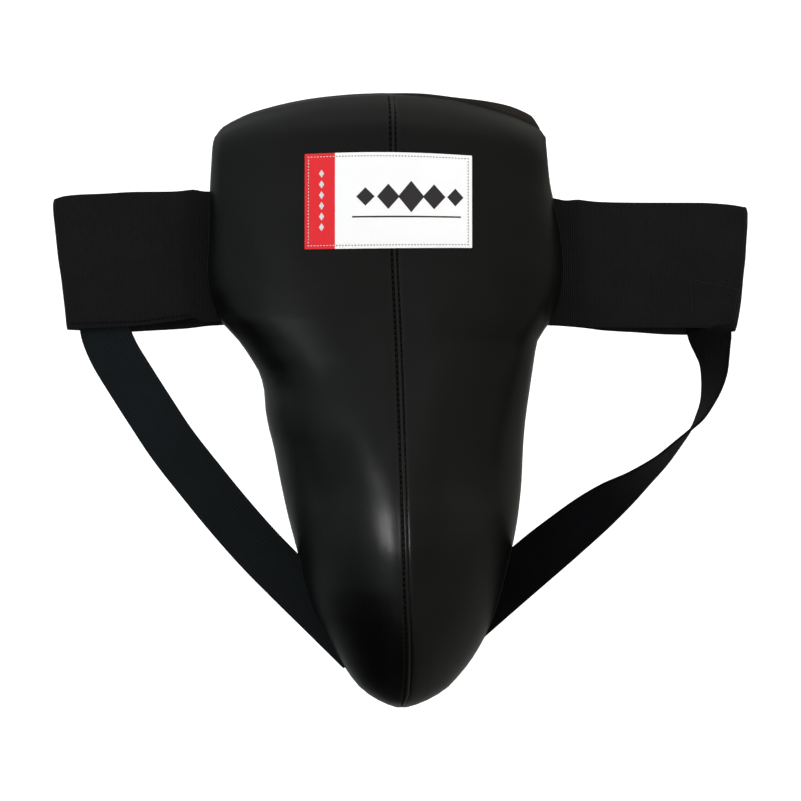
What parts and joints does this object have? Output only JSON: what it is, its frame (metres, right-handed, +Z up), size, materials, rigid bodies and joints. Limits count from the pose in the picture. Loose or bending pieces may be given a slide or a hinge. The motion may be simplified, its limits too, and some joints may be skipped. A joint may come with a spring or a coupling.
{
  "type": "groin protector",
  "caption": "Padded leather groin protector with a deep cup, an elastic waist loop folded flat on its back panel, and two elastic leg straps.",
  "frame": {"origin": "centre of the bounding box's underside, on the surface the guard lies on", "axes": "lying on its back: +X to the right of a viewer above it, along the waist loop; +Y from the tip of the cup towards the waist edge; +Z up, out of the front of the guard"},
  "size_m": [0.3964, 0.3507, 0.0885],
  "materials": {
    "leather": "semi-gloss",
    "thread": "matte",
    "label_white": "satin",
    "label_red": "satin",
    "label_thread": "satin",
    "foam": "matte",
    "cup_plastic": "satin",
    "lining": "matte",
    "elastic": "matte",
    "strap_elastic": "matte"
  },
  "bodies": {
    "guard": {"front_cover_left": "leather", "front_cover_right": "leather", "seam_topstitch": "thread", "label_white_field": "label_white", "label_red_strip": "label_red", "label_stitching": "label_thread", "abdomen_foam": "foam", "cup_foam": "foam", "hard_cup": "cup_plastic", "cup_rim_cushion": "foam", "rear_lining": "lining", "cup_lining": "lining", "rim_binding": "leather", "top_gusset": "leather", "left_band_tail": "elastic", "right_band_tail": "elastic", "strap_anchor_tab": "leather"},
    "left_side": {"left_side_band": "elastic", "left_strap_stub": "strap_elastic", "left_box_stitch": "thread"},
    "left_back": {"left_back_band": "elastic"},
    "right_side": {"right_side_band": "elastic", "right_strap_stub": "strap_elastic", "right_box_stitch": "thread"},
    "right_back": {"right_back_band": "elastic"},
    "left_strap": {"left_leg_strap": "strap_elastic"},
    "right_strap": {"right_leg_strap": "strap_elastic"}
  },
  "joints": [
    {"name": "left_side_opening", "type": "hinge", "parent": "guard", "child": "left_side", "pos_m": [-0.1105, 0.081, 0.0018], "axis": [0, -1, 0], "range_deg": [0, 60]},
    {"name": "left_fold", "type": "hinge", "parent": "left_side", "child": "left_back", "pos_m": [-0.1955, 0.081, 0.0029], "axis": [0, 1, 0], "range_deg": [0, 98.29]},
    {"name": "right_side_opening", "type": "hinge", "parent": "guard", "child": "right_side", "pos_m": [0.0935, 0.079, 0.0018], "axis": [0, 1, 0], "range_deg": [0, 49.38]},
    {"name": "right_fold", "type": "hinge", "parent": "right_side", "child": "right_back", "pos_m": [0.1955, 0.079, 0.0029], "axis": [0, -1, 0], "range_deg": [0, 82.72]},
    {"name": "left_leg_strap_swing", "type": "hinge", "parent": "guard", "child": "left_strap", "pos_m": [-0.024, -0.142, 0.0008], "axis": [-0.7304, -0.5993, -0.3277], "range_deg": [0, 13.88]},
    {"name": "right_leg_strap_swing", "type": "hinge", "parent": "guard", "child": "right_strap", "pos_m": [0.022, -0.141, 0.0008], "axis": [-0.682, 0.6391, 0.3555], "range_deg": [0, 17.53]}
  ],
  "couplings": [
    {"joint": "left_fold", "follows": "left_side_opening", "ratio": 1.6381},
    {"joint": "right_side_opening", "follows": "left_side_opening", "ratio": 0.8229},
    {"joint": "right_fold", "follows": "left_side_opening", "ratio": 1.3785},
    {"joint": "left_leg_strap_swing", "follows": "left_side_opening", "ratio": 0.23113},
    {"joint": "right_leg_strap_swing", "follows": "left_side_opening", "ratio": 0.292}
  ]
}
